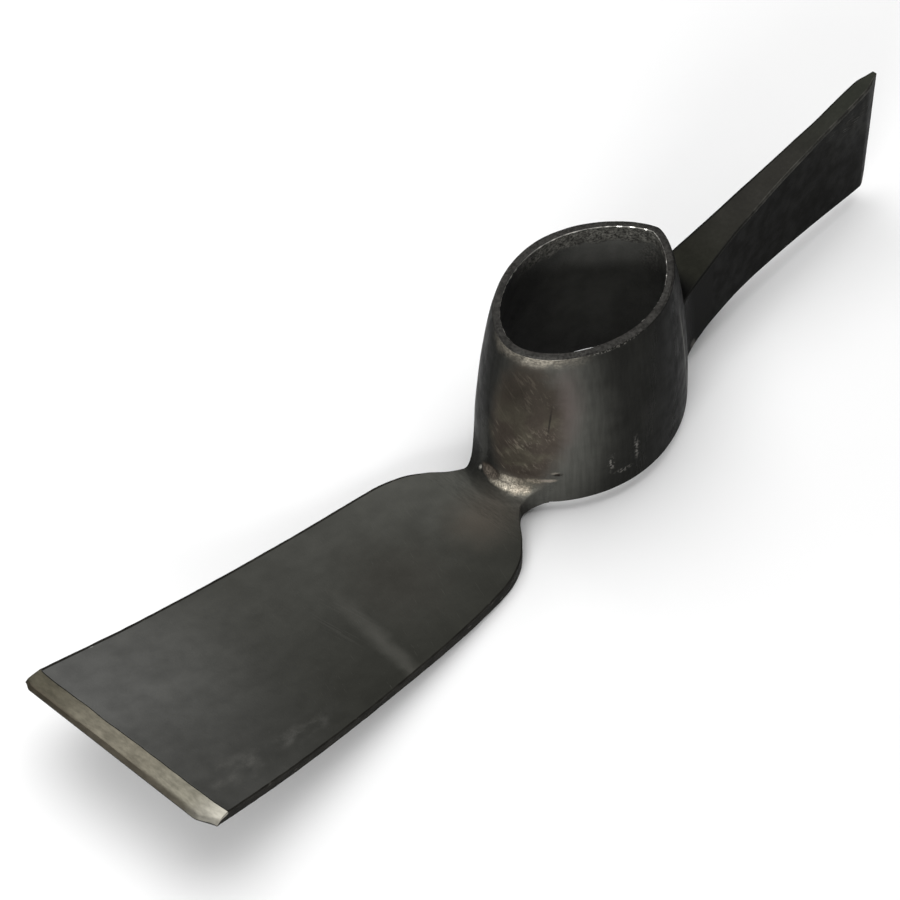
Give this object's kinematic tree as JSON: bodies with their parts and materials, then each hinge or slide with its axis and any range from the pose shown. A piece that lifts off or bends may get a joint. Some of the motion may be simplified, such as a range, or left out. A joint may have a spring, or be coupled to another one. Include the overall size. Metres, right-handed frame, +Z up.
{
  "type": "grub hoe head",
  "caption": "Bare grub hoe head: wide curved hoe blade and upright axe blade welded to a tapered teardrop eye that takes a mattock handle.",
  "frame": {"origin": "under the middle of the head, level with its lowest point, which is the underside of the hoe blade's neck", "axes": "+Z up the eye from its wide mouth, where the handle is driven in, to its narrow mouth, where the shaft comes out; +X towards the axe blade's cutting edge; the head is symmetric about Y = 0"},
  "size_m": [0.419, 0.0964, 0.077],
  "materials": {
    "eye_steel": "satin clear-lacquered forge scale, brown heat tint and grinding marks at the hoe end",
    "hoe_steel": "satin black lacquer over rolled steel, with a bare ground cutting bevel",
    "axe_steel": "satin black lacquer over forged steel, worn grey near the cutting edge",
    "ground_weld": "hand-ground weld under clear lacquer, brown tint and small pits",
    "dark_weld": "dressed weld under satin black lacquer"
  },
  "bodies": {
    "root": {"eye_socket": "eye_steel", "hoe_blade": "hoe_steel", "axe_blade": "axe_steel", "hoe_weld": "ground_weld", "axe_weld": "dark_weld"}
  },
  "joints": []
}
